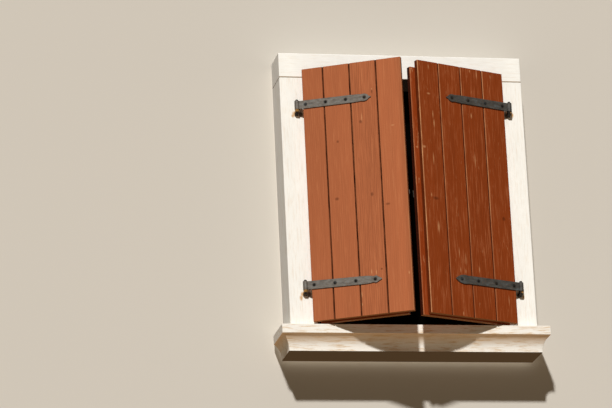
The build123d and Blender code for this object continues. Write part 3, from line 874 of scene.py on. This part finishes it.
def forged_iron(context, name, iron, rust_range, side=None, skin_roughness=0.5, rust_and_highlight_places=()):
    """Wrought iron with the dull skin of the forge, old paint and a film of rust: between metal and
    chalk, so its gloss is soft and broken. A leaf's straps are darker round their nails."""
    sizes, colours = context.scene.shutter_sizes, context.scene.shutter_colours
    material = new_material(name)
    tree = material.node_tree
    vector = add(tree, "ShaderNodeTexCoord", output="Object")
    mark = sizes.hammer_mark
    dents = blotches(tree, vector, (mark, mark, mark), detail=2.0)
    mottle = blotches(tree, vector, (3.5 * mark, 3.5 * mark, 1.5 * mark), detail=4.0, roughness=0.6)
    tone = add(
        tree,
        "ShaderNodeMapRange",
        {"Value": mottle, "From Min": 0.3, "From Max": 0.7, "To Min": 0.58, "To Max": 1.4},
    )
    skin = add(tree, "ShaderNodeHueSaturation", {"Color": iron, "Value": tone})
    coats = []  # laid over the skin, the lowest first: how far each covers it, and its colour
    brown = add(tree, "ShaderNodeMapRange", {"Value": dents, "From Min": 0.5, "From Max": 0.75, "To Max": 0.4})
    coats.append((brown, linear(IRON_BROWN)))
    blue = add(tree, "ShaderNodeMapRange", {"Value": mottle, "From Min": 0.56, "From Max": 0.7, "To Max": 0.35})
    coats.append((blue, linear(IRON_BLUE)))
    if side:
        round_nails = [(*place, NAIL_DIRT, NAIL_DIRT) for place in STRAP_NAILS[side]]
        nails = spots(tree, leaf_vector(tree, side), round_nails, soft=0.4)
        nails = add(tree, "ShaderNodeMath", {0: nails, 1: NAIL_DIRT_COVER}, operation="MULTIPLY")
        coats.append((nails, linear(NAIL_BLACK)))
    rust = add(
        tree,
        "ShaderNodeMapRange",
        {"Value": mottle, "From Min": rust_range[0], "From Max": rust_range[1], "To Max": 0.9},
    )
    # On the pintles' collars, rust that also paints a highlight on their tops
    if rust_and_highlight_places:
        collar = spots(tree, vector, rust_and_highlight_places, soft=0.7)
        rust = add(tree, "ShaderNodeMath", {0: rust, 1: collar}, operation="MAXIMUM")
    coats.append((rust, colours.rust))
    for cover, coat in coats:
        skin = add(
            tree,
            "ShaderNodeMix",
            {MIX_FACTOR: cover, MIX_A: skin, MIX_B: coat},
            output=MIX_RESULT,
            data_type="RGBA",
        )
    bump = add(tree, "ShaderNodeBump", {"Height": dents, "Strength": 0.5, "Distance": 0.7 * MM})
    rough = add(tree, "ShaderNodeMapRange", {"Value": rust, "To Min": skin_roughness, "To Max": 0.88})
    shader = add(
        tree,
        "ShaderNodeBsdfPrincipled",
        {"Base Color": skin, "Metallic": 0.25, "Roughness": rough, "Normal": bump, "Specular IOR Level": 0.3},
    )
    add(tree, "ShaderNodeOutputMaterial", {"Surface": shader})
    return material


class SHUTTERS_OT_stone(bpy.types.Operator):
    """Finish the sill, the jambs, the lintel and the mortar"""

    bl_idname = "shutters.stone"
    bl_label = "Stone surround"

    def execute(self, context):
        for cut, stones in STONES.items():
            finish = limestone(context, f"{cut}_limestone", cut != "upright", OCHRE_AMOUNTS[cut])
            set_material(stones, finish)
        for name, width in STONE_ARRISES.items():
            soften(name, width * MM)
        set_material(("lintel_mortar",), lime_mortar())
        return {"FINISHED"}


class SHUTTERS_OT_front_boards(bpy.types.Operator):
    """Paint the upright boards of both leaves"""

    bl_idname = "shutters.front_boards"
    bl_label = "Front boards"

    def execute(self, context):
        colours = context.scene.shutter_colours
        for side, colour in (("left", colours.left_paint), ("right", colours.right_paint)):
            paint = plank_paint(
                context,
                f"{side}_plank_paint",
                side,
                colour,
                FRONT_JOINTS[side],
                FLAKED[side],
                face=True,
                flakes=FLAKES[side],
                knots=KNOTS[side],
            )
            set_material([f"{side}_front_board_{number}" for number in range(1, 5)], paint)
        return {"FINISHED"}


class SHUTTERS_OT_inner_boards(bpy.types.Operator):
    """Paint the boards laid across the back, and the meeting stile"""

    bl_idname = "shutters.inner_boards"
    bl_label = "Inner boards and stile"

    def execute(self, context):
        colours = context.scene.shutter_colours
        for side in SIDES:
            paint = plank_paint(
                context,
                f"{side}_inner_paint",
                side,
                colours.right_paint,
                INNER_JOINTS,
                FLAKED["inner"],
                across=True,
            )
            set_material([f"{side}_inner_board_{number}" for number in range(1, 9)], paint)
        stile = plank_paint(
            context,
            "stile_paint",
            "right",
            colours.stile_paint,
            LIP_JOINT,
            FLAKED["stile"],
            flakes=STILE_FLAKES,
        )
        set_material(("right_meeting_stile",), stile)
        return {"FINISHED"}


class SHUTTERS_OT_ironwork(bpy.types.Operator):
    """Finish the straps, the pintles, the nails and the slide bolt"""

    bl_idname = "shutters.ironwork"
    bl_label = "Ironwork"

    def execute(self, context):
        colours = context.scene.shutter_colours
        for side, colour in (("left", colours.left_iron), ("right", colours.right_iron)):
            iron = forged_iron(context, f"{side}_strap_iron", colour, RUST_RANGES[side], side=side)
            set_material([f"{side}_{level}_strap" for level in LEVELS], iron)
        iron = forged_iron(context, "bolt_iron", linear(BOLT_IRON), RUST_RANGES["bolt"])
        set_material(("slide_bolt", "bolt_guide_outer", "bolt_guide_inner", "bolt_keeper"), iron)
        iron = forged_iron(
            context,
            "rusty_pintle_iron",
            linear(PINTLE_IRON),
            RUST_RANGES["pintle"],
            rust_and_highlight_places=by_pintles(COLLAR_RUST_AND_HIGHLIGHT),
        )
        set_material([f"{side}_{level}_pintle" for side in SIDES for level in LEVELS], iron)
        iron = forged_iron(
            context, "nail_iron", linear(NAIL_IRON), RUST_RANGES["nail"], skin_roughness=NAIL_ROUGHNESS
        )
        set_material([name for name in frame["nodes"] if name.endswith("_nails")], iron)
        return {"FINISHED"}


# Stage


def one_sided(name, colour):
    """Plain matt stage material that shows on its front alone."""
    material = new_material(name)
    tree = material.node_tree
    matt = add(tree, "ShaderNodeBsdfDiffuse", {"Color": colour})
    clear = add(tree, "ShaderNodeBsdfTransparent")
    behind = add(tree, "ShaderNodeNewGeometry", output="Backfacing")
    shader = add(tree, "ShaderNodeMixShader", {0: behind, 1: matt, 2: clear})
    add(tree, "ShaderNodeOutputMaterial", {"Surface": shader})
    return material


def stage_plane(name, size, place, rotation, material, stops_light=False):
    """A rectangle of the stage. It casts no shadow, and unless it stops light, bounced light passes it."""
    bpy.ops.mesh.primitive_plane_add(size=1, location=place, rotation=rotation)
    plane = bpy.context.object
    plane.name = name
    plane.scale = (*size, 1)
    plane.data.materials.append(material)
    plane.visible_diffuse = stops_light
    plane.visible_glossy = False
    plane.visible_transmission = False
    plane.visible_shadow = False


def sun_lamp(name, azimuth, elevation, strength, size):
    """A lamp whose light comes from an azimuth left of the front and an elevation, in degrees."""
    data = bpy.data.lights.new(name, "SUN")
    data.energy = strength
    data.angle = math.radians(size)
    lamp = bpy.data.objects.new(name, data)
    bpy.context.scene.collection.objects.link(lamp)
    left, up = math.radians(azimuth), math.radians(elevation)
    towards = Vector((-math.sin(left) * math.cos(up), -math.cos(left) * math.cos(up), math.sin(up)))
    lamp.rotation_euler = towards.to_track_quat("Z", "Y").to_euler()


def studio_world(context):
    """Warm light mostly from below for the object, and a plain pale background for what looks past it."""
    world = bpy.data.worlds.new("studio")
    context.scene.world = world
    world.use_nodes = True
    tree = world.node_tree
    tree.nodes.clear()
    # A world's first texture coordinate is the direction in which the light is seen
    direction = add(tree, "ShaderNodeTexCoord")
    upwards = add(tree, "ShaderNodeSeparateXYZ", {"Vector": direction}, output="Z")
    strength = add(
        tree,
        "ShaderNodeMapRange",
        {
            "Value": upwards,
            "From Min": -0.8,
            "From Max": 0.0,
            "To Min": GROUND_STRENGTH,
            "To Max": SKY_STRENGTH,
        },
    )
    fill = add(tree, "ShaderNodeBackground", {"Color": linear(WARM_FILL), "Strength": strength})
    colour = context.scene.shutter_colours.backdrop
    seen = add(tree, "ShaderNodeBackground", {"Color": colour, "Strength": BACKGROUND_STRENGTH})
    shown = add(tree, "ShaderNodeLightPath", output="Is Camera Ray")
    for kind in ("Is Glossy Ray", "Is Transmission Ray"):
        ray = add(tree, "ShaderNodeLightPath", output=kind)
        shown = add(tree, "ShaderNodeMath", {0: shown, 1: ray}, operation="MAXIMUM")
    mixed = add(tree, "ShaderNodeMixShader", {0: shown, 1: fill, 2: seen})
    add(tree, "ShaderNodeOutputWorld", {"Surface": mixed})


def photo_camera(context):
    """The photograph's long lens, from low on the left, aimed past the middle of the sill's front arris."""
    azimuth, elevation, roll = (math.radians(angle) for angle in CAMERA_ANGLES)
    level = math.cos(elevation)
    forward = Vector((math.sin(azimuth) * level, math.cos(azimuth) * level, math.sin(elevation)))
    right = Vector((math.cos(azimuth), -math.sin(azimuth), 0))
    up = right.cross(forward)
    rolled_right = math.cos(roll) * right + math.sin(roll) * up
    rolled_up = math.cos(roll) * up - math.sin(roll) * right
    sill_arris = Vector((0, 0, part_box("left_jamb")[0][2] - SILL_FALL))
    place = sill_arris - CAMERA_DISTANCE * forward
    place -= CAMERA_ASIDE[0] * rolled_right + CAMERA_ASIDE[1] * rolled_up
    data = bpy.data.cameras.new("photo_camera")
    data.lens = CAMERA_LENS
    data.sensor_width = SENSOR_WIDTH
    data.clip_end = CAMERA_REACH
    camera = bpy.data.objects.new("photo_camera", data)
    context.scene.collection.objects.link(camera)
    axes = Matrix((rolled_right, rolled_up, -forward)).transposed().to_4x4()
    camera.matrix_world = Matrix.Translation(place) @ axes
    context.scene.camera = camera


class SHUTTERS_OT_stage(bpy.types.Operator):
    """Set the floor, the backdrop, the lights and the camera"""

    bl_idname = "shutters.stage"
    bl_label = "Stage, lights and camera"

    def execute(self, context):
        sizes, colours = context.scene.shutter_sizes, context.scene.shutter_colours
        pale = one_sided("plain_pale_stage", colours.backdrop)
        # A black sheet painting the shade of the unlit room
        dark = one_sided("room_shade_sheet", linear(ROOM_SHADE_BLACK))
        bpy.ops.object.select_all(action="DESELECT")
        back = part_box("lintel")[1][1] + sizes.backdrop_gap
        width = sizes.stage_width
        stage_plane("floor", (width, width), (0, back - width / 2, -FLOOR_DROP), LYING, pale)
        stage_plane("backdrop", (width, width), (0, back, 0), UPRIGHT, pale)

        # The room behind the opening is unlit: a black sheet just behind the surround paints its shade
        left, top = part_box("left_jamb")[1][0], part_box("left_jamb")[1][2]
        right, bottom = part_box("right_jamb")[0][0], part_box("sill")[1][2]
        opening = (right - left + 2 * ROOM_SHADE_LAP, top - bottom + 2 * ROOM_SHADE_LAP)
        middle = (0, back - sizes.backdrop_gap / 2, (top + bottom) / 2)
        stage_plane("room_shade_sheet", opening, middle, UPRIGHT, dark, stops_light=True)

        for name, lamp in LAMPS.items():
            sun_lamp(name, *lamp)
        studio_world(context)
        photo_camera(context)
        context.scene.view_settings.view_transform = "Standard"
        return {"FINISHED"}


class SHUTTERS_PT_panel(bpy.types.Panel):
    """Lists the steps, and the sizes and colours that they read"""

    bl_idname = "SHUTTERS_PT_panel"
    bl_label = "Shutters"
    bl_space_type = "VIEW_3D"
    bl_region_type = "UI"
    bl_category = "Shutters"

    def draw(self, context):
        for operator in OPERATORS:
            self.layout.operator(operator.bl_idname)
        for group in (context.scene.shutter_sizes, context.scene.shutter_colours):
            for name in group.bl_rna.properties.keys():
                if name not in ("rna_type", "name"):
                    self.layout.prop(group, name)


OPERATORS = (
    SHUTTERS_OT_stone,
    SHUTTERS_OT_front_boards,
    SHUTTERS_OT_inner_boards,
    SHUTTERS_OT_ironwork,
    SHUTTERS_OT_stage,
)
CLASSES = (ShutterSizes, ShutterColours, *OPERATORS, SHUTTERS_PT_panel)


def register():
    for each in CLASSES:
        bpy.utils.register_class(each)
    bpy.types.Scene.shutter_sizes = bpy.props.PointerProperty(type=ShutterSizes)
    bpy.types.Scene.shutter_colours = bpy.props.PointerProperty(type=ShutterColours)


def unregister():
    del bpy.types.Scene.shutter_colours
    del bpy.types.Scene.shutter_sizes
    for each in reversed(CLASSES):
        bpy.utils.unregister_class(each)


def main():
    register()
    bpy.ops.shutters.stone()
    bpy.ops.shutters.front_boards()
    bpy.ops.shutters.inner_boards()
    bpy.ops.shutters.ironwork()
    bpy.ops.shutters.stage()


if __name__ == "__main__":
    main()
